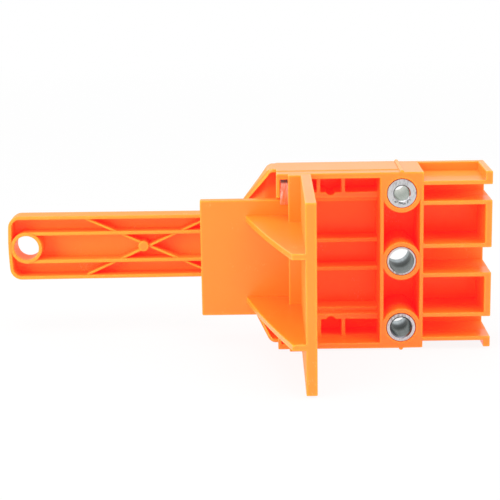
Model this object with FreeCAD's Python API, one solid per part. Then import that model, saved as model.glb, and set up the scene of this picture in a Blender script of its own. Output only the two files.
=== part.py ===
import FreeCAD, Part
import math
import os

# Doweling jig in millimetres. X runs along the block from the handle towards the dowel grid,
# Y runs from the working face into the block, and Z is up along the row of guide bushings.
# The origin is on the middle guide bore, at the working face.

# Guide bushings: plain steel tubes in one row, with a lead-in at the drill's end
bushing_diameter = 12.0
bushing_length = 25.0
bushing_pitch = 28.0
bushing_chamfer = 0.2
bushing_gap = 0.1
drill_clearance = 0.2
small_drill = 6.0
medium_drill = 8.0
large_drill = 10.0
back_lead_in = 0.4
small_front_lead_in = 0.45
medium_front_lead_in = 0.5

# Block: one moulding with an open front, a little deeper than the bushings are long
block_height = 73.4
block_depth = 27.0
floor_thickness = 3.3
pocket_radius = 0.5
back_edge_radius = 0.8
column_edge_radius = 0.4
tail_edge_radius = 2.2

# Guide column
column_width = 17.7
column_wall = 1.6
boss_wall = 1.85
centre_ridge_radius = 0.85

# Frame with the slideway, on the handle's side of the column
frame_length = 41.7
frame_wall = 2.3
end_wall = 1.45
rail_thickness = 2.5
rail_drop = 10.7
cross_rib_thickness = 1.55
cross_rib_places = (16.55, 26.7)
notch_radius = 2.1
notch_depth = 1.2
notch_place = 22.25
ledge_width = 2.0
floor_rib_spacing = 12.1
floor_rib_thickness = 1.8

# Band round the back part of the frame, a little proud of the front strip
band_proud = 0.2
band_drop = 6.3
band_end_gap = 1.0

# Dowel grid, with one open channel for each dowel size
grid_length = 27.7
grid_rib = 1.7
grid_end_wall = 2.8
lip_radius = 0.5
channel_clearance = 0.5

# Wings and handle, behind the block
wing_length = 3.05
wing_drop = 11.0
wing_taper = 15.4
wing_corner_radius = 3.5
wing_root_radius = 4.0
rim_ramp_length = 11.5
back_ramp_length = 17.3
ramp_radius = 4.0
handle_length = 97.0
handle_end_width = 27.8
handle_root_width = 27.2
handle_thickness = 11.0
handle_drop = 34.0
handle_end_radius = 5.0
handle_end_bow = 0.8
handle_end_bow_radius = 120.0
rim_wall = 1.5
handle_rib = 1.5
rib_step = 0.4
brace_length = 54.0
brace_rib = 1.1
brace_step = 1.0
brace_centre = 36.3
brace_pad_diameter = 4.5
brace_pad_offset = 2.3
hanging_hole = 10.6
hanging_ring_wall = 1.5
hanging_hole_inset = 8.0

# Fence carriage
slide_clearance = 0.2
plate_length = 45.3
plate_width = 48.7
plate_thickness = 4.1
plate_proud = 1.0
plate_radius = 0.6
fence_place = 36.7
fence_thickness = 4.2
fence_reach = 61.0
fence_corner_radius = 0.4
fence_neck_width = 43.4
fence_gap = 0.4
foot_width = 5.0
foot_thickness = 3.1
gusset_spacing = 34.5
gusset_offset = -0.65
gusset_thickness = 2.4
gusset_reach = 22.4
gusset_flat = 5.0
gusset_bulge = 1.0

# Spring clips over the edges of the slide plate
clip_width = 8.0
clip_thickness = 0.6
clip_gap = 0.3
clip_seat_gap = 0.1
clip_overlap = 1.9
clip_end_gap = 0.25
clip_bend_radius = 0.6

# Length by which a cutting shape runs past the face that it opens
overshoot = 1.0

# Places worked out from the sizes above
top = block_height / 2
column_side = column_width / 2
frame_end = -column_side - frame_length
grid_end = column_side + grid_length
floor_drop = block_depth - floor_thickness
wall_inside = top - frame_wall
rail_inside = plate_width / 2 + slide_clearance
rail_outside = rail_inside + rail_thickness
plate_drop = rail_drop - plate_proud
plate_back = plate_drop + plate_thickness
ledge_drop = plate_back + slide_clearance
wing_corner = frame_end - wing_length
wing_root = wing_corner - wing_taper
handle_end = wing_root - handle_length
handle_back = handle_drop + handle_thickness
band_side = top + band_proud
hole_place = handle_end + hanging_hole_inset
fence_left = -fence_place - fence_thickness
bore_place = {"6": bushing_pitch, "10": 0.0, "8": -bushing_pitch}
drill_size = {"6": small_drill, "10": large_drill, "8": medium_drill}
front_lead_in = {"6": small_front_lead_in, "10": 0.0, "8": medium_front_lead_in}


def rounded_wire(corners, radii):
    """Closed wire through the corners, each rounded by its own radius."""
    starts = []
    ends = []
    arcs = []
    count = len(corners)
    for index in range(count):
        corner = corners[index]
        before = (corners[index - 1] - corner).normalize()
        after = (corners[(index + 1) % count] - corner).normalize()
        radius = radii[index]
        half_angle = before.getAngle(after) / 2
        trim = radius / math.tan(half_angle)
        start = corner + before * trim
        end = corner + after * trim
        starts.append(start)
        ends.append(end)
        if radius > 0:
            bisector = (before + after).normalize()
            middle = corner + bisector * (radius / math.sin(half_angle) - radius)
            arcs.append(Part.Arc(start, middle, end).toShape())
        else:
            arcs.append(None)
    edges = []
    for index in range(count):
        if arcs[index]:
            edges.append(arcs[index])
        edges.append(Part.LineSegment(ends[index], starts[(index + 1) % count]).toShape())
    return Part.Wire(edges)


def front_prism(corners, radii, front, back):
    """Outline in X and Z, extruded from front to back along Y."""
    wire = rounded_wire([FreeCAD.Vector(x, front, z) for x, z in corners], radii)
    return Part.Face(wire).extrude(FreeCAD.Vector(0, back - front, 0))


def top_prism(corners, radii, low, high):
    """Outline in X and Y, extruded upwards along Z."""
    wire = rounded_wire([FreeCAD.Vector(x, y, low) for x, y in corners], radii)
    return Part.Face(wire).extrude(FreeCAD.Vector(0, 0, high - low))


def side_prism(corners, radii, left, right):
    """Outline in Y and Z, extruded to the right along X."""
    wire = rounded_wire([FreeCAD.Vector(left, y, z) for y, z in corners], radii)
    return Part.Face(wire).extrude(FreeCAD.Vector(right - left, 0, 0))


def front_block(left, right, low, high, front, back, radius=0.0):
    """Rectangle in X and Z with one corner radius, extruded along Y."""
    corners = [(left, low), (right, low), (right, high), (left, high)]
    return front_prism(corners, [radius] * len(corners), front, back)


def post(x, z, diameter, front, back):
    """Round post or hole along Y."""
    centre = FreeCAD.Vector(x, front, z)
    return Part.makeCylinder(diameter / 2, back - front, centre, FreeCAD.Vector(0, 1, 0))


def mirrored(shape):
    """The same shape on the other side of the middle bore, upper to lower."""
    return shape.mirror(FreeCAD.Vector(0, 0, 0), FreeCAD.Vector(0, 0, 1))


def round_long_edges(solid, heights, radius):
    """The solid with its back edges rounded where they run along X at the given heights."""
    edges = []
    for edge in solid.Edges:
        at_back = all(abs(vertex.Y - block_depth) < 0.01 for vertex in edge.Vertexes)
        if at_back and any(abs(edge.CenterOfMass.z - height) < 0.01 for height in heights):
            edges.append(edge)
    return solid.makeFillet(radius, edges)


def block_blank():
    """Outside of the block, with the proud band, the centre ridges and rounded lips."""
    split = -band_end_gap
    frame = front_block(frame_end, split, -top, top, 0, block_depth)
    corners = [(split, -top), (grid_end, -top), (grid_end, top), (split, top)]
    column_and_grid = front_prism(corners, [0, lip_radius, lip_radius, 0], 0, block_depth)
    band = front_block(frame_end, split, wall_inside, band_side, band_drop, block_depth)
    ridge = post(0, top, 2 * centre_ridge_radius, 0, block_depth - column_edge_radius)
    frame = round_long_edges(frame, (top, -top), back_edge_radius)
    column_and_grid = round_long_edges(column_and_grid, (top, -top), column_edge_radius)
    band = round_long_edges(band, (band_side,), back_edge_radius)
    return frame.fuse([column_and_grid, band, mirrored(band), ridge, mirrored(ridge)])


def slideway_cut():
    """Stepped channel of the slide plate, with its ledges, floor ribs and the floor between them."""
    rib_outside = (floor_rib_spacing + floor_rib_thickness) / 2
    rib_inside = (floor_rib_spacing - floor_rib_thickness) / 2
    ledge_side = rail_inside - ledge_width
    upper = [
        (-overshoot, rail_outside),
        (rail_drop, rail_outside),
        (rail_drop, rail_inside),
        (ledge_drop, rail_inside),
        (ledge_drop, ledge_side),
        (floor_drop, ledge_side),
        (floor_drop, rib_outside),
        (ledge_drop, rib_outside),
        (ledge_drop, rib_inside),
        (floor_drop, rib_inside),
    ]
    lower = [(y, -z) for y, z in reversed(upper)]
    corners = upper + lower
    return side_prism(corners, [0] * len(corners), frame_end - overshoot, -column_side)


def frame_cuts():
    """Open front of the frame, and the pockets between its side walls and the rails."""
    left = frame_end + end_wall
    cuts = [front_block(left, -column_side, -wall_inside, wall_inside, -overshoot, rail_drop, pocket_radius)]
    for place in cross_rib_places + (frame_length,):
        right = frame_end + min(place, frame_length)
        pocket = front_block(left, right, rail_outside, wall_inside, -overshoot, floor_drop, pocket_radius)
        cuts.append(pocket)
        cuts.append(mirrored(pocket))
        left = right + cross_rib_thickness
    notch_height = rail_outside + notch_radius - notch_depth
    notch = post(frame_end + notch_place, notch_height, 2 * notch_radius, -overshoot, floor_drop)
    cuts.append(notch)
    cuts.append(mirrored(notch))
    return cuts


def column_cuts():
    """Deep pockets between the bushing bosses, and the three seats for the bushings."""
    boss_diameter = bushing_diameter + 2 * (bushing_gap + boss_wall)
    inside = column_side - column_wall
    cuts = []
    for low in (0.0, -bushing_pitch):
        pocket = front_block(-inside, inside, low, low + bushing_pitch, -overshoot, floor_drop)
        bosses = [post(0, z, boss_diameter, -overshoot, floor_drop) for z in (low, low + bushing_pitch)]
        cuts.append(pocket.cut(bosses))
    for place in bore_place.values():
        seat = bushing_diameter + 2 * bushing_gap
        cuts.append(post(0, place, seat, -overshoot, block_depth + overshoot))
    return cuts


def grid_cuts():
    """Three open dowel channels, the two boxes between them and a trough along each side."""
    half_width = {name: (size + channel_clearance) / 2 for name, size in drill_size.items()}
    cuts = []
    for name, place in bore_place.items():
        low = place - half_width[name]
        high = place + half_width[name]
        cuts.append(front_block(column_side, grid_end + overshoot, low, high, -overshoot, floor_drop))
    for upper, lower in (("6", "10"), ("10", "8")):
        low = bore_place[lower] + half_width[lower] + grid_rib
        high = bore_place[upper] - half_width[upper] - grid_rib
        right = grid_end - grid_end_wall
        cuts.append(front_block(column_side, right, low, high, -overshoot, floor_drop, pocket_radius))
    right = grid_end - grid_end_wall
    upper_side = bushing_pitch + half_width["6"] + grid_rib
    cuts.append(front_block(column_side, right, upper_side, top + overshoot, -overshoot, floor_drop))
    lower_side = -bushing_pitch - half_width["8"] - grid_rib
    cuts.append(front_block(column_side, right, -top - overshoot, lower_side, -overshoot, floor_drop))
    return cuts


def tail_outline(right):
    """Wings and handle seen from the front, closed at X = right."""
    root = handle_root_width / 2
    end = handle_end_width / 2
    bowed = handle_end + handle_end_bow
    upper = [(right, band_side), (wing_corner, band_side), (wing_root, root), (bowed, end)]
    lower = [(x, -z) for x, z in reversed(upper)]
    corners = upper + [(handle_end, 0)] + lower
    half = [0, wing_corner_radius, wing_root_radius, handle_end_radius]
    radii = half + [handle_end_bow_radius] + half[::-1]
    return rounded_wire([FreeCAD.Vector(x, -overshoot, z) for x, z in corners], radii)


def ramp_shift():
    """How far the bends of the back move along X when the face is offset by the floor."""
    slope = math.atan2(handle_back - block_depth, back_ramp_length)
    return floor_thickness * math.tan(slope / 2)


def tail_side(front_corner, front_end, front_drop):
    """Prism over the tail's side view, from a front line with one ramp to the back faces."""
    far = handle_end - overshoot
    corners = [
        (frame_end, front_corner),
        (wing_corner, front_corner),
        (front_end, front_drop),
        (far, front_drop),
        (far, handle_back),
        (wing_corner - back_ramp_length, handle_back),
        (wing_corner, block_depth),
        (frame_end, block_depth),
    ]
    radii = [0, ramp_radius, ramp_radius, 0, 0, ramp_radius, ramp_radius, 0]
    return top_prism(corners, radii, -block_height, block_height)


def tail_outside():
    """Outside of wings and handle, the outline cut to the side view, with rounded back edges."""
    depth = FreeCAD.Vector(0, handle_back + 2 * overshoot, 0)
    outline = Part.Face(tail_outline(frame_end)).extrude(depth)
    side = tail_side(wing_drop, wing_corner - rim_ramp_length, handle_drop)
    solid = outline.common(side)
    back_edges = []
    for edge in solid.Edges:
        on_back = all(abs(vertex.Y - handle_back) < 0.01 for vertex in edge.Vertexes)
        across = abs(edge.CenterOfMass.z) < 0.01 and edge.CenterOfMass.x > handle_end + handle_end_radius
        if on_back and not across:
            back_edges.append(edge)
    return solid.makeFillet(tail_edge_radius, back_edges)


def tail_cavity():
    """Recess inside the rim, with a floor that follows the back faces."""
    inner = Part.Face(tail_outline(frame_end + rim_wall)).makeOffset2D(-rim_wall)
    outline = inner.extrude(FreeCAD.Vector(0, handle_back + 2 * overshoot, 0))
    shift = ramp_shift()
    far = handle_end - overshoot
    corners = [
        (frame_end, -2 * overshoot),
        (far, -2 * overshoot),
        (far, handle_back - floor_thickness),
        (wing_corner - back_ramp_length - shift, handle_back - floor_thickness),
        (wing_corner - shift, floor_drop),
        (frame_end, floor_drop),
    ]
    radii = [0, 0, 0, ramp_radius, ramp_radius, 0]
    return outline.common(top_prism(corners, radii, -block_height, block_height))


def brace_arm(rise):
    """One arm of the crossed brace, from rim to rim. rise is 1 or -1."""
    centre = wing_root - brace_centre
    run = brace_length / 2
    climb = rise * (handle_end_width / 2 - rim_wall)
    length = math.hypot(run, climb)
    side_x = -climb / length * brace_rib / 2
    side_z = run / length * brace_rib / 2
    corners = [
        (centre - run - side_x, -climb - side_z),
        (centre + run - side_x, climb - side_z),
        (centre + run + side_x, climb + side_z),
        (centre - run + side_x, -climb + side_z),
    ]
    front = handle_drop + rib_step + brace_step
    return front_prism(corners, [0] * len(corners), front, handle_back)


def tail_ribs(outside):
    """Two long ribs, the crossed brace and its pad, cut to the ribs' own side view."""
    low = (floor_rib_spacing - handle_rib) / 2
    rib = front_block(hole_place, frame_end, low, low + handle_rib, 0, handle_back)
    pad = post(wing_root - brace_centre - brace_pad_offset, 0, brace_pad_diameter, 0, handle_back)
    pattern = rib.fuse([mirrored(rib), brace_arm(1), brace_arm(-1), pad])
    rib_drop = handle_drop + rib_step
    ramp = rim_ramp_length * (rib_drop - ledge_drop) / (handle_drop - wing_drop)
    return pattern.common(tail_side(ledge_drop, wing_corner - ramp, rib_drop)).common(outside)


def tail():
    """Wings and handle with ribs, hanging ring and hole."""
    outside = tail_outside()
    shell = outside.cut(tail_cavity())
    ring_diameter = hanging_hole + 2 * hanging_ring_wall
    ring = post(hole_place, 0, ring_diameter, handle_drop, handle_back).common(outside)
    solid = shell.fuse([tail_ribs(outside), ring])
    return solid.cut(post(hole_place, 0, hanging_hole, 0, handle_back + overshoot))


def jig_body():
    """Block, guide column, dowel grid, wings and handle in one moulding."""
    block = block_blank().cut([slideway_cut()] + frame_cuts() + column_cuts() + grid_cuts())
    return block.fuse(tail()).removeSplitter()


def guide_bushing(name):
    """Steel tube with chamfered ends and a lead-in for the drill in its bore."""
    place = bore_place[name]
    radius = bushing_diameter / 2
    bore = (drill_size[name] + drill_clearance) / 2
    lead_in = front_lead_in[name]
    profile = [
        (bore + lead_in, 0),
        (radius - bushing_chamfer, 0),
        (radius, bushing_chamfer),
        (radius, bushing_length - bushing_chamfer),
        (radius - bushing_chamfer, bushing_length),
        (bore + back_lead_in, bushing_length),
        (bore, bushing_length - back_lead_in),
    ]
    if lead_in > 0:
        profile.append((bore, lead_in))
    wire = Part.makePolygon([FreeCAD.Vector(r, y, place) for r, y in profile + profile[:1]])
    centre = FreeCAD.Vector(0, 0, place)
    return Part.Face(wire).revolve(centre, FreeCAD.Vector(0, 1, 0), 360)


def fence_wall():
    """Fence with its narrow neck, which reaches down between the rails to the slide plate."""
    neck = fence_neck_width / 2
    upper = [(-fence_reach, top), (-fence_gap, top), (-fence_gap, neck), (plate_back, neck)]
    lower = [(y, -z) for y, z in reversed(upper)]
    radii = [fence_corner_radius, 0, 0, 0]
    return side_prism(upper + lower, radii + radii[::-1], fence_left, -fence_place)


def foot():
    """Flange beside the fence, which runs over the front edges of the block."""
    left = fence_left - foot_width
    front = -fence_gap - foot_thickness
    return front_block(left, fence_left, -top, top, front, -fence_gap)


def gusset(middle):
    """Bowed gusset from the slide plate to the fence, flat at the fence's front edge."""
    tip = FreeCAD.Vector(fence_left - gusset_reach, plate_drop, middle - gusset_thickness / 2)
    knee = FreeCAD.Vector(fence_left - gusset_flat, -fence_reach, tip.z)
    chord = knee - tip
    normal = FreeCAD.Vector(chord.y, -chord.x, 0).normalize()
    bulge = (tip + knee) * 0.5 + normal * gusset_bulge
    corner = FreeCAD.Vector(fence_left, -fence_reach, tip.z)
    heel = FreeCAD.Vector(fence_left, plate_drop, tip.z)
    edges = [
        Part.Arc(tip, bulge, knee).toShape(),
        Part.LineSegment(knee, corner).toShape(),
        Part.LineSegment(corner, heel).toShape(),
        Part.LineSegment(heel, tip).toShape(),
    ]
    return Part.Face(Part.Wire(edges)).extrude(FreeCAD.Vector(0, 0, gusset_thickness))


def fence_carriage():
    """Slide plate, fence, foot and gussets in one moulding."""
    right = -fence_place
    half_width = plate_width / 2
    plate = front_block(right - plate_length, right, -half_width, half_width, plate_drop, plate_back, plate_radius)
    gussets = [gusset(gusset_offset + side * gusset_spacing / 2) for side in (1, -1)]
    return plate.fuse([fence_wall(), foot()] + gussets).removeSplitter()


def spring_clip():
    """Bent steel strip: a leg down the frame's side wall and a tongue over the slide plate's edge."""
    outer = wall_inside - clip_seat_gap
    back = plate_drop - clip_gap
    front = back - clip_thickness
    tip = plate_width / 2 - clip_overlap
    heel = floor_drop - clip_seat_gap
    corners = [
        (front, tip),
        (front, outer),
        (heel, outer),
        (heel, outer - clip_thickness),
        (back, outer - clip_thickness),
        (back, tip),
    ]
    radii = [0, clip_bend_radius + clip_thickness, 0, 0, clip_bend_radius, 0]
    left = frame_end + end_wall + clip_end_gap
    return side_prism(corners, radii, left, left + clip_width)


os.makedirs("parts", exist_ok=True)
nodes = {"jig_body": jig_body(), "fence_carriage": fence_carriage()}
for bore_name in bore_place:
    nodes["guide_bushing_" + bore_name] = guide_bushing(bore_name)
nodes["spring_clip_upper"] = spring_clip()
nodes["spring_clip_lower"] = mirrored(spring_clip())
for node_name, solid in nodes.items():
    print(node_name, len(solid.Solids), "solid", round(solid.Volume, 1), "mm3", solid.isValid())
    solid.exportStep("parts/" + node_name + ".step")
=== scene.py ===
import bmesh
import bpy
import math
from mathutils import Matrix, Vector


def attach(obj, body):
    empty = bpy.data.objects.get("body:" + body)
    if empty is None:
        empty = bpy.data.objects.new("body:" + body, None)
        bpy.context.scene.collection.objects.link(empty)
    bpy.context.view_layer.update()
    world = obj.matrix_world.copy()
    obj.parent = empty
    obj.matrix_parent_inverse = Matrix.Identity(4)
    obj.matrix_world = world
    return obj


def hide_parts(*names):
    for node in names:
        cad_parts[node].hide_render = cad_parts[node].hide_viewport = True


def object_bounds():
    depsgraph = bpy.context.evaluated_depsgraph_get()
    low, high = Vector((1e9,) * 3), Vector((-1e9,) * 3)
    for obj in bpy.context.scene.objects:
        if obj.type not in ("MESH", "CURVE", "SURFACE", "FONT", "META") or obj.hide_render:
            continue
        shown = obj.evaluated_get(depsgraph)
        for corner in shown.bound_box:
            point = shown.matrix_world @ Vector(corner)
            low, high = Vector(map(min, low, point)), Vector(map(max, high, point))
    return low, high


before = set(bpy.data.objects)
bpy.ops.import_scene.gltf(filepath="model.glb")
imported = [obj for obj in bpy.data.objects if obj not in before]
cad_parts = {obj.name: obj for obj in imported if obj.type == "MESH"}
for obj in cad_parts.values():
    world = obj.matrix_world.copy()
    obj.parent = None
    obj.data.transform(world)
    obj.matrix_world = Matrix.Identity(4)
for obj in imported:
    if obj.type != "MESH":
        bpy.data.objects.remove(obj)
cad_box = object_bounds()

# Studio: the jig stands on its long lower side on a white floor, in a white room of soft light.
# The side behind the camera is darker, as in a real studio, so the deep recesses stay saturated.
# The floor and the room show as plain white, and the floor keeps a soft shadow.
white = (1, 1, 1, 1)
floor_height = cad_box[0][2]
floor_size = 12.0
floor_paint = (0.85, 0.85, 0.85, 1)
shadow_fade = (0.25, 1.2)
white_share = (0.90, 1.0)
room_light = (0.80, 1.0)
dark_way = (0.0, -0.97, 0.22)
dark_edge = (0.55, 0.90)
dark_level = 0.15

bpy.ops.mesh.primitive_plane_add(size=floor_size, location=(0, 0, floor_height))
floor = bpy.context.object
floor.name = "studio_floor"


def feed(links, socket, value):
    """Link the socket to the output of another node, or set it to a plain number or colour."""
    if isinstance(value, bpy.types.NodeSocket):
        links.new(value, socket)
    else:
        socket.default_value = value


def combined(nodes, links, operation, first, second=0.0):
    """Math node on one or two numbers or outputs."""
    node = nodes.new("ShaderNodeMath")
    node.operation = operation
    feed(links, node.inputs[0], first)
    feed(links, node.inputs[1], second)
    return node.outputs[0]


def spread(nodes, links, value, source=(0.0, 1.0), target=(0.0, 1.0), smooth=False):
    """Value moved from the source range to the target range. Either may run backwards."""
    node = nodes.new("ShaderNodeMapRange")
    if smooth:
        node.interpolation_type = "SMOOTHSTEP"
    feed(links, node.inputs["Value"], value)
    feed(links, node.inputs["From Min"], source[0])
    feed(links, node.inputs["From Max"], source[1])
    feed(links, node.inputs["To Min"], target[0])
    feed(links, node.inputs["To Max"], target[1])
    return node.outputs[0]


def white_rays(nodes, links):
    """1 for the rays that see the white room: camera, glossy and transmission rays."""
    path = nodes.new("ShaderNodeLightPath").outputs
    seen = combined(nodes, links, "MAXIMUM", path["Is Camera Ray"], path["Is Glossy Ray"])
    return combined(nodes, links, "MAXIMUM", seen, path["Is Transmission Ray"])


def floor_material():
    """White floor: mostly its own white for the camera, with a share near the jig for the shadow."""
    material = bpy.data.materials.new("studio_white")
    material.use_nodes = True
    nodes = material.node_tree.nodes
    links = material.node_tree.links
    nodes.clear()
    paint = nodes.new("ShaderNodeBsdfDiffuse")
    paint.inputs["Color"].default_value = floor_paint
    glow = nodes.new("ShaderNodeEmission")
    glow.inputs["Color"].default_value = white
    glow.inputs["Strength"].default_value = 1.0
    distance = nodes.new("ShaderNodeVectorMath")
    distance.operation = "LENGTH"
    links.new(nodes.new("ShaderNodeTexCoord").outputs["Object"], distance.inputs[0])
    fade = spread(nodes, links, distance.outputs["Value"], shadow_fade, white_share)
    mix = nodes.new("ShaderNodeMixShader")
    links.new(combined(nodes, links, "MULTIPLY", white_rays(nodes, links), fade), mix.inputs["Fac"])
    links.new(paint.outputs[0], mix.inputs[1])
    links.new(glow.outputs[0], mix.inputs[2])
    output = nodes.new("ShaderNodeOutputMaterial")
    links.new(mix.outputs[0], output.inputs["Surface"])
    return material


floor.data.materials.append(floor_material())


def white_room():
    """World of even white light, darker on the camera's side, that the camera sees as plain white."""
    world = bpy.data.worlds.new("white_room")
    world.use_nodes = True
    nodes = world.node_tree.nodes
    links = world.node_tree.links
    room = nodes["Background"]
    room.inputs["Color"].default_value = white
    strength = spread(nodes, links, white_rays(nodes, links), target=room_light)
    facing = nodes.new("ShaderNodeVectorMath")
    facing.operation = "DOT_PRODUCT"
    facing.inputs[1].default_value = dark_way
    links.new(nodes.new("ShaderNodeTexCoord").outputs["Generated"], facing.inputs[0])
    shade = spread(nodes, links, facing.outputs["Value"], dark_edge, (1.0, dark_level), smooth=True)
    seen = nodes.new("ShaderNodeLightPath").outputs["Is Camera Ray"]
    level = combined(nodes, links, "MAXIMUM", shade, seen)
    links.new(combined(nodes, links, "MULTIPLY", strength, level), room.inputs["Strength"])
    return world


bpy.context.scene.world = white_room()


def softbox(name, place, aim, width, height, power):
    """Rectangular soft light that faces the point it is aimed at."""
    lamp = bpy.data.lights.new(name, "AREA")
    lamp.shape = "RECTANGLE"
    lamp.size = width
    lamp.size_y = height
    lamp.energy = power
    light = bpy.data.objects.new(name, lamp)
    light.location = place
    light.rotation_euler = (Vector(aim) - Vector(place)).to_track_quat("-Z", "Y").to_euler()
    light.visible_camera = False
    bpy.context.collection.objects.link(light)
    return light


jig_middle = (-0.06, 0, 0)
softbox("overhead_softbox", (-0.05, -0.25, 1.0), jig_middle, width=1.2, height=0.9, power=6.5)
softbox("left_softbox", (-1.1, -0.75, 0.35), jig_middle, width=0.8, height=0.9, power=10.6)
softbox("right_softbox", (1.1, -0.65, 0.40), jig_middle, width=0.7, height=0.9, power=3.4)

# Camera: a long lens a little above the jig, which looks straight at the working face.
camera_place = (-0.05658, -0.58936, 0.14063)
camera_turn = (77.095, 0.933, 0.272)
camera_data = bpy.data.cameras.new("camera")
camera_data.sensor_width = 36.0
camera_data.lens = 107.14
camera = bpy.data.objects.new("camera", camera_data)
camera.location = camera_place
camera.rotation_euler = [math.radians(angle) for angle in camera_turn]
bpy.context.collection.objects.link(camera)
bpy.context.scene.camera = camera

# Body: one injection moulding in glossy orange ABS, with walls of a few millimetres.
# The mould leaves a small radius on each edge, faint flow in the colour and a fine orange-peel,
# and work in the shop leaves a few short scuffs.
edge_radius = 0.00035
sharp_angle = math.radians(28)
crease_angle = math.radians(50)
flat_angle = math.radians(0.4)
everywhere = (-1.0, 1.0)
at_rails = (0.01065, 0.01075)

# Ranges of x, y and the height above or below the middle bore in which edges lie too near each
# other to be rounded.
crowded_places = {
    "step of the low band": (everywhere, (0.00625, 0.00635), (0.0362, 1.0)),
    "centre ridges": ((-0.0014, 0.0014), everywhere, (0.0362, 1.0)),
    "back corners": (everywhere, (0.0247, 1.0), (0.0345, 1.0)),
    "small shelf beside the rails": ((-1.0, -0.0485), at_rails, (0.0270, 0.0276)),
    "ribs of the pockets at the side walls": (everywhere, at_rails, (0.0338, 1.0)),
    "corners of the pockets at the column": ((-0.00945, 1.0), at_rails, (0.0262, 1.0)),
    "hanging hole beside the handle's end": ((-1.0, -0.1625), (0.04495, 1.0), everywhere),
    "hanging ring at the long ribs": ((-1.0, -0.1568), (-1.0, 0.0341), (0.0066, 0.0069)),
}

abs_finish_with_painted_glow = {
    "IOR": 1.5,
    "Coat Weight": 0.22,
    "Coat Roughness": 0.22,
    # Painted glow: a faint red emission that stands in for the light bounced between the orange walls of
    # the deep recesses.
    "Emission Color": (1.0, 0.03, 0.06, 1),
    "Emission Strength": 0.17,
}
orange_tones = ((1.0, 0.30, 0.010, 1), (1.0, 0.275, 0.008, 1))
scuffed_orange = (1.0, 0.42, 0.08, 1)
# Painted highlight colour of the outer edges.
painted_highlight_orange = (1.0, 0.44, 0.010, 1)
moulded_roughness = (0.30, 0.42)
grazing_view = (0.90, 0.97)
grazing_dullness = 0.45
core_depth = (0.0095, 0.0125)
core_height = (0.0360, 0.0350)
core_dullness = 0.34


def surface_group(name, inputs, outputs):
    """Node group with a place, the named numbers as its inputs and the named values as its outputs."""
    group = bpy.data.node_groups.new(name, "ShaderNodeTree")
    group.interface.new_socket(name="Place", in_out="INPUT", socket_type="NodeSocketVector")
    for label, value in inputs.items():
        number = group.interface.new_socket(name=label, in_out="INPUT", socket_type="NodeSocketFloat")
        number.default_value = value
    for label in outputs:
        group.interface.new_socket(name=label, in_out="OUTPUT", socket_type="NodeSocketFloat")
    entry = group.nodes.new("NodeGroupInput").outputs
    result = group.nodes.new("NodeGroupOutput").inputs
    return group, group.nodes, group.links, entry, result


def noise(nodes, links, place, scale, detail=2.0):
    """Value of a noise of the given scale."""
    texture = nodes.new("ShaderNodeTexNoise")
    texture.inputs["Detail"].default_value = detail
    links.new(place, texture.inputs["Vector"])
    feed(links, texture.inputs["Scale"], scale)
    return texture.outputs["Fac"]


def stretched(nodes, links, place, scale, turn=(0, 0, 0)):
    """The place turned and stretched, for a pattern that runs one way."""
    mapping = nodes.new("ShaderNodeMapping")
    mapping.inputs["Rotation"].default_value = turn
    mapping.inputs["Scale"].default_value = scale
    links.new(place, mapping.inputs["Vector"])
    return mapping.outputs[0]


def moulded_surface():
    """Colour flow and orange-peel of a moulded surface."""
    values = {"Flow Scale": 38.0, "Peel Scale": 900.0}
    group, nodes, links, entry, result = surface_group("moulded_surface", values, ("Flow", "Peel"))
    links.new(noise(nodes, links, entry["Place"], entry["Flow Scale"], detail=3.0), result["Flow"])
    links.new(noise(nodes, links, entry["Place"], entry["Peel Scale"]), result["Peel"])
    return group


def short_scuffs():
    """Mask of short fine scuffs, stretched along one way, on a small share of the surface."""
    fullest = 0.48
    values = {"Scale": 1.0, "Share": 0.1}
    group, nodes, links, entry, result = surface_group("short_scuffs", values, ("Scuffs",))
    along = stretched(nodes, links, entry["Place"], scale=(3000.0, 420.0, 1100.0), turn=(0.5, 0.3, 0.8))
    strokes = noise(nodes, links, along, entry["Scale"], detail=1.0)
    patches = noise(nodes, links, entry["Place"], scale=70.0)
    both = combined(nodes, links, "MULTIPLY", strokes, patches)
    limit = combined(nodes, links, "SUBTRACT", fullest, entry["Share"])
    links.new(spread(nodes, links, both, (limit, fullest)), result["Scuffs"])
    return group


def painted_highlight_edges():
    """Mask of the outer edges, where the rays into the material soon leave it again, on which highlights
    are painted.
    """
    values = {"Reach": 0.0006, "Unevenness": 0.3}
    group, nodes, links, entry, result = surface_group("painted_highlight_edges", values, ("Edges",))
    inside = nodes.new("ShaderNodeAmbientOcclusion")
    inside.inside = True
    inside.only_local = True
    inside.samples = 6
    links.new(entry["Reach"], inside.inputs["Distance"])
    mask = spread(nodes, links, inside.outputs["AO"], source=(0.93, 0.60), smooth=True)
    patches = noise(nodes, links, entry["Place"], scale=160.0)
    loss = combined(nodes, links, "MULTIPLY", patches, entry["Unevenness"])
    share = combined(nodes, links, "SUBTRACT", 1.0, loss)
    links.new(combined(nodes, links, "MULTIPLY", mask, share), result["Edges"])
    return group


moulding_group = moulded_surface()
scuff_group = short_scuffs()
highlight_edge_group = painted_highlight_edges()


def new_material(name, values):
    """Material whose Principled shader has the given values, with its nodes, links and place."""
    material = bpy.data.materials.new(name)
    material.use_nodes = True
    nodes = material.node_tree.nodes
    shader = nodes["Principled BSDF"]
    for label, value in values.items():
        shader.inputs[label].default_value = value
    place = nodes.new("ShaderNodeTexCoord").outputs["Object"]
    return material, nodes, material.node_tree.links, shader, place


def placed_group(nodes, links, group, place, values):
    """Outputs of a node group in a material, on the given place and with its own values."""
    node = nodes.new("ShaderNodeGroup")
    node.node_tree = group
    links.new(place, node.inputs["Place"])
    for label, value in values.items():
        node.inputs[label].default_value = value
    return node.outputs


def mixed_colour(nodes, links, factor, first, second):
    """Colour between two colours. The first may be a colour or the output of another node."""
    mix = nodes.new("ShaderNodeMix")
    mix.data_type = "RGBA"
    links.new(factor, mix.inputs["Factor"])
    feed(links, mix.inputs["A"], first)
    mix.inputs["B"].default_value = second
    return mix.outputs["Result"]


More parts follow.
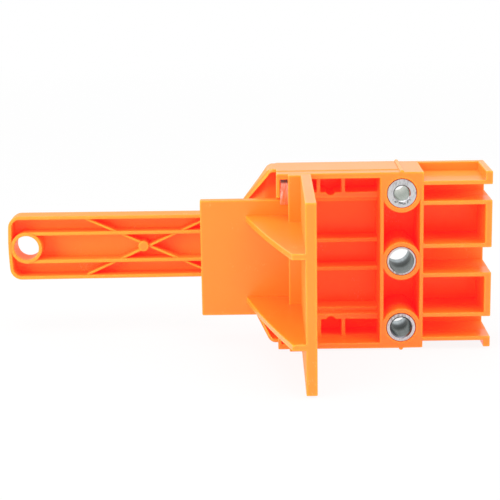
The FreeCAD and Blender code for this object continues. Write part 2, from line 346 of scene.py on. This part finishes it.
def bumped(nodes, links, shader, height, strength, depth):
    """Fine relief on the shader's normal."""
    bump = nodes.new("ShaderNodeBump")
    bump.inputs["Strength"].default_value = strength
    bump.inputs["Distance"].default_value = depth
    links.new(height, bump.inputs["Height"])
    links.new(bump.outputs["Normal"], shader.inputs["Normal"])


def axes(nodes, links, place):
    """The three coordinates of a place."""
    parts = nodes.new("ShaderNodeSeparateXYZ")
    links.new(place, parts.inputs[0])
    return parts.outputs


def orange_plastic():
    """Glossy orange ABS with a faint red painted glow that stands in for light bounced in the recesses,
    duller in the recesses of the core side.
    """
    material, nodes, links, shader, place = new_material("orange_abs", abs_finish_with_painted_glow)
    moulding = placed_group(nodes, links, moulding_group, place, {"Flow Scale": 38.0, "Peel Scale": 900.0})
    scuffs = placed_group(nodes, links, scuff_group, place, {"Scale": 1.0, "Share": 0.06})
    edges = placed_group(nodes, links, highlight_edge_group, place, {"Reach": 0.0011, "Unevenness": 0.35})
    colour = mixed_colour(nodes, links, moulding["Flow"], *orange_tones)
    colour = mixed_colour(nodes, links, scuffs["Scuffs"], colour, scuffed_orange)
    # Painted highlight: a lighter yellow-orange along the outer edges, where the rounded edges would catch
    # the light.
    colour = mixed_colour(nodes, links, edges["Edges"], colour, painted_highlight_orange)
    links.new(colour, shader.inputs["Base Color"])
    facing = nodes.new("ShaderNodeLayerWeight").outputs["Facing"]
    grazing = spread(nodes, links, facing, grazing_view, (0.0, grazing_dullness))
    coordinates = axes(nodes, links, place)
    core = spread(nodes, links, coordinates["Y"], core_depth, (0.0, core_dullness))
    outward = combined(nodes, links, "ABSOLUTE", coordinates["Z"])
    recess = combined(nodes, links, "MULTIPLY", core, spread(nodes, links, outward, core_height))
    duller = combined(nodes, links, "ADD", grazing, recess)
    gloss = spread(nodes, links, moulding["Flow"], target=moulded_roughness)
    links.new(combined(nodes, links, "ADD", gloss, duller), shader.inputs["Roughness"])
    bumped(nodes, links, shader, moulding["Peel"], strength=0.06, depth=0.0004)
    return material


abs_plastic = orange_plastic()


def too_near(edge):
    """True for an edge that lies in one of the crowded places."""
    places = [(vertex.co.x, vertex.co.y, abs(vertex.co.z)) for vertex in edge.verts]
    for ranges in crowded_places.values():
        if all(low < value < high for place in places for value, (low, high) in zip(place, ranges)):
            return True
    return False


def softened_copy(node, name, body, material, radius):
    """Copy of a CAD part with its flat faces joined and its sharp edges rounded."""
    form = bmesh.new()
    form.from_mesh(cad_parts[node].data)
    bmesh.ops.remove_doubles(form, verts=form.verts, dist=1e-6)
    bmesh.ops.dissolve_limit(form, angle_limit=flat_angle, verts=form.verts, edges=form.edges)
    sharp = []
    for edge in form.edges:
        if edge.is_convex and edge.calc_face_angle() > sharp_angle and not too_near(edge):
            sharp.append(edge)
    bmesh.ops.bevel(
        form, geom=sharp, offset=radius, offset_type="OFFSET", segments=2,
        profile=0.5, affect="EDGES", clamp_overlap=False, material=-1,
    )
    for face in form.faces:
        face.smooth = True
    for edge in form.edges:
        edge.smooth = edge.is_manifold and edge.calc_face_angle() < crease_angle
    mesh = bpy.data.meshes.new(name)
    form.to_mesh(mesh)
    form.free()
    mesh.materials.append(material)
    piece = bpy.data.objects.new(name, mesh)
    bpy.context.collection.objects.link(piece)
    weigh = piece.modifiers.new("even_normals", "WEIGHTED_NORMAL")
    weigh.keep_sharp = True
    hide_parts(node)
    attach(piece, body)
    return piece


softened_copy("jig_body", "jig_body_moulding", "block", abs_plastic, edge_radius)

# Fence carriage: the second orange moulding, a slide plate with the fence, its foot and two gussets.
# It comes from the same plastic, drops between the rails from the front and slides along them.
softened_copy(
    "fence_carriage", "fence_carriage_moulding", "fence", abs_plastic, edge_radius
)

# Guide bushings: three turned and plated steel tubes of one outside diameter, pressed into the column.
# The 6 mm and the 8 mm bushing have a lead-in at the front, and the 10 mm one has too thin a wall for it.
bushing_radius = 0.00583
bushing_front = 0.00015
bushing_back = 0.0250
bushing_chamfer = 0.00005
bushing_pitch = 0.028
back_lead_in = 0.0004
turning_steps = 96
bore_margin = 0.00002

stained_steel = (0.22, 0.21, 0.21, 1)
turning_shade = 0.82
plated_roughness = (0.30, 0.46)
drilled_roughness = (0.16, 0.30)
pit_colour = (0.10, 0.10, 0.10, 1)
pit_drop = (0.0012, 0.0036)
pit_reach = (0.0018, 0.0012)


def bushing_steel(name, height, bore, tone, wear):
    """Turned and plated steel, with turning marks and, below the bore, an arc of small pits."""
    material, nodes, links, shader, place = new_material(name, {"Metallic": 1.0})
    centred = nodes.new("ShaderNodeMapping")
    centred.inputs["Location"].default_value = (0, 0, -height)
    links.new(place, centred.inputs["Vector"])
    rings = nodes.new("ShaderNodeTexWave")
    rings.wave_type = "RINGS"
    rings.rings_direction = "Y"
    rings.inputs["Scale"].default_value = 700.0
    rings.inputs["Distortion"].default_value = 1.5
    links.new(centred.outputs[0], rings.inputs["Vector"])
    turning = rings.outputs["Fac"]
    scuffs = placed_group(nodes, links, scuff_group, place, {"Scale": 0.45, "Share": 0.22})
    darker = tuple(channel * turning_shade for channel in tone[:3]) + (1,)
    colour = mixed_colour(nodes, links, turning, tone, darker)
    colour = mixed_colour(nodes, links, scuffs["Scuffs"], colour, stained_steel)
    grit = noise(nodes, links, place, scale=1300.0)
    specks = spread(nodes, links, grit, source=(0.46, 0.60))
    below = (height - pit_drop[0], height - pit_drop[1])
    lower = spread(nodes, links, axes(nodes, links, place)["Z"], below, (0.0, wear))
    across = nodes.new("ShaderNodeVectorMath")
    across.operation = "MULTIPLY"
    across.inputs[1].default_value = (1, 0, 1)
    links.new(centred.outputs[0], across.inputs[0])
    reach = nodes.new("ShaderNodeVectorMath")
    reach.operation = "LENGTH"
    links.new(across.outputs[0], reach.inputs[0])
    beside = (bore + pit_reach[0], bore + pit_reach[1])
    near_bore = spread(nodes, links, reach.outputs["Value"], beside)
    arc = combined(nodes, links, "MULTIPLY", near_bore, lower)
    pits = combined(nodes, links, "MULTIPLY", specks, arc)
    links.new(mixed_colour(nodes, links, pits, colour, pit_colour), shader.inputs["Base Color"])
    links.new(spread(nodes, links, turning, target=plated_roughness), shader.inputs["Roughness"])
    bumped(nodes, links, shader, turning, strength=0.10, depth=0.0002)
    return material


def bore_steel(name, tones, tint):
    """Drilled bore, with painted shade in the middle of its length and painted light towards its ends,
    following the depth along the bore.
    """
    values = {"Metallic": 1.0, "Specular Tint": tint}
    material, nodes, links, shader, place = new_material(name, values)
    along = stretched(nodes, links, place, scale=(900.0, 60.0, 900.0))
    lines = noise(nodes, links, along, scale=1.0)
    depth = spread(nodes, links, axes(nodes, links, place)["Y"], (0.0, bushing_back))
    ramp = nodes.new("ShaderNodeValToRGB")
    ramp.color_ramp.interpolation = "EASE"
    steps = ramp.color_ramp.elements
    while len(steps) < len(tones):
        steps.new(0.5)
    for step, (position, tone) in zip(steps, tones):
        step.position = position
        step.color = tone
    links.new(depth, ramp.inputs["Fac"])
    shade = nodes.new("ShaderNodeMix")
    shade.data_type = "RGBA"
    shade.blend_type = "MULTIPLY"
    shade.inputs["Factor"].default_value = 0.5
    links.new(ramp.outputs["Color"], shade.inputs["A"])
    links.new(lines, shade.inputs["B"])
    links.new(shade.outputs["Result"], shader.inputs["Base Color"])
    links.new(spread(nodes, links, lines, target=drilled_roughness), shader.inputs["Roughness"])
    return material


def chamfer_steel(name, tones):
    """Bare cut steel of the lead-in, left grained by the tool, with its overall brightness painted in by
    the tones it is given.
    """
    values = {"Metallic": 1.0, "Roughness": 0.30}
    material, nodes, links, shader, place = new_material(name, values)
    grain = noise(nodes, links, place, scale=1400.0)
    links.new(mixed_colour(nodes, links, grain, *tones), shader.inputs["Base Color"])
    return material


def guide_bushing(node, name, height, bore, lead_in, steels):
    """Tube spun from its profile round the bore's axis, with chamfers and lead-ins."""
    profile = [
        (bore + lead_in, bushing_front),
        (bushing_radius - bushing_chamfer, bushing_front),
        (bushing_radius, bushing_front + bushing_chamfer),
        (bushing_radius, bushing_back - bushing_chamfer),
        (bushing_radius - bushing_chamfer, bushing_back),
        (bore + back_lead_in, bushing_back),
        (bore, bushing_back - back_lead_in),
    ]
    if lead_in > 0:
        profile.append((bore, bushing_front + lead_in))
    form = bmesh.new()
    corners = [form.verts.new((radius, depth, height)) for radius, depth in profile]
    outline = [form.edges.new((corners[index - 1], corners[index])) for index in range(len(corners))]
    bmesh.ops.spin(
        form, geom=corners + outline, cent=(0, 0, height), axis=(0, 1, 0),
        angle=math.tau, steps=turning_steps, use_merge=True, use_duplicate=False,
    )
    bmesh.ops.remove_doubles(form, verts=form.verts, dist=1e-7)
    bmesh.ops.recalc_face_normals(form, faces=form.faces)
    for face in form.faces:
        centre = face.calc_center_median()
        reach = math.hypot(centre.x, centre.z - height)
        if reach < bore + bore_margin:
            face.material_index = 1
        elif reach < bore + lead_in and centre.y < bushing_back / 2:
            face.material_index = 2
        face.smooth = True
    for edge in form.edges:
        edge.smooth = edge.calc_face_angle() < sharp_angle
    mesh = bpy.data.meshes.new(name)
    form.to_mesh(mesh)
    form.free()
    for steel in steels:
        mesh.materials.append(steel)
    piece = bpy.data.objects.new(name, mesh)
    bpy.context.collection.objects.link(piece)
    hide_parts(node)
    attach(piece, "block")
    return piece


# Painted light and shade inside the bores, along their depth: painted shade in the middle, painted light
# towards the ends.
painted_bright_bore = (
    (0.0, (0.90, 0.96, 0.94, 1)),
    (0.45, (0.56, 0.60, 0.55, 1)),
    (1.0, (0.95, 0.95, 0.90, 1)),
)
# The bright set, with its cut lead-in, is a lit version of the same steel as the dark set.
light_tint = (0.74, 0.77, 0.73, 1)
painted_bright_cut = ((0.22, 0.22, 0.23, 1), (0.66, 0.66, 0.68, 1))
# Shaded version of the same steel; its bluish step near the back is a painted reflection of light.
painted_dark_bore = (
    (0.0, (0.60, 0.62, 0.60, 1)),
    (0.30, (0.42, 0.44, 0.44, 1)),
    (0.52, (0.10, 0.10, 0.10, 1)),
    (0.66, (0.16, 0.16, 0.17, 1)),
    (0.88, (0.88, 0.95, 1.0, 1)),
)
dark_tint = (0.45, 0.47, 0.46, 1)
painted_dark_cut = ((0.04, 0.04, 0.05, 1), (0.24, 0.24, 0.27, 1))
painted_bright_inside = (painted_bright_bore, light_tint, painted_bright_cut)
painted_dark_inside = (painted_dark_bore, dark_tint, painted_dark_cut)

# Each bushing's drill, height, bore radius, lead-in, plating, share of pits and painted light and shade
# inside.
bushings = (
    ("6", bushing_pitch, 0.0031, 0.00045, (0.82, 0.84, 0.86, 1), 0.95, painted_bright_inside),
    ("10", 0.0, 0.0051, 0.0, (0.84, 0.78, 0.78, 1), 0.2, painted_dark_inside),
    ("8", -bushing_pitch, 0.0041, 0.0005, (0.84, 0.78, 0.80, 1), 0.3, painted_dark_inside),
)
for drill, height, bore, lead_in, tone, wear, (tones, tint, cut) in bushings:
    plated = bushing_steel("plated_steel_" + drill, height, bore, tone, wear)
    drilled = bore_steel("drilled_steel_" + drill, tones, tint)
    chamfered = chamfer_steel("cut_steel_" + drill, cut)
    steels = (plated, drilled, chamfered)
    guide_bushing("guide_bushing_" + drill, "turned_bushing_" + drill, height, bore, lead_in, steels)

# Spring clips: two strips of bright spring steel, bent over the edges of the slide plate.
# They hang in the pockets beside the rails, and hold the plate down.
clip_edge = 0.00008
# Bright steel, and a painted reflection of the orange moulding, mixed in streaks along the strip.
steel_and_reflection_tones = ((1.0, 0.92, 0.88, 1), (0.90, 0.42, 0.28, 1))
# Colour of the scuffs and of the painted shadow that the top wall casts near the outer bend.
scuff_and_shadow_colour = (0.20, 0.11, 0.10, 1)
# Painted highlight colour of the strip's edges.
painted_highlight_steel = (1.0, 0.96, 0.94, 1)
# Heights over which the painted shadow near the outer bend fades in.
bend_shadow_height = (0.0310, 0.0318)
strip_roughness = (0.12, 0.30)


def spring_steel():
    """Rolled strip, slightly wavy along its length, with painted streaks of orange reflection along it, a
    painted shadow near its outer bend, scuffs and painted highlights on its edges.
    """
    material, nodes, links, shader, place = new_material("spring_steel", {"Metallic": 1.0})
    along = stretched(nodes, links, place, scale=(1.0, 1.0, 0.22))
    wave_and_reflection_streaks = noise(nodes, links, along, scale=620.0)
    scuffs = placed_group(nodes, links, scuff_group, place, {"Scale": 0.8, "Share": 0.20})
    edges = placed_group(nodes, links, highlight_edge_group, place, {"Reach": 0.0004, "Unevenness": 0.3})
    outward = combined(nodes, links, "ABSOLUTE", axes(nodes, links, place)["Z"])
    # Painted shadow near the outer bend, where the top wall shades the strip.
    bend_shadow = spread(nodes, links, outward, bend_shadow_height)
    # Scuffs and painted shadow together.
    marks = combined(nodes, links, "MAXIMUM", bend_shadow, scuffs["Scuffs"])
    colour = mixed_colour(nodes, links, wave_and_reflection_streaks, *steel_and_reflection_tones)
    colour = mixed_colour(nodes, links, marks, colour, scuff_and_shadow_colour)
    # Painted highlight along the strip's edges.
    colour = mixed_colour(nodes, links, edges["Edges"], colour, painted_highlight_steel)
    links.new(colour, shader.inputs["Base Color"])
    links.new(spread(nodes, links, wave_and_reflection_streaks, target=strip_roughness), shader.inputs["Roughness"])
    bumped(nodes, links, shader, wave_and_reflection_streaks, strength=0.35, depth=0.0006)
    return material


strip_steel = spring_steel()
for side in ("upper", "lower"):
    softened_copy(
        "spring_clip_" + side, "bent_clip_" + side, "block", strip_steel, clip_edge
    )

bpy.context.scene.view_settings.view_transform = "Standard"
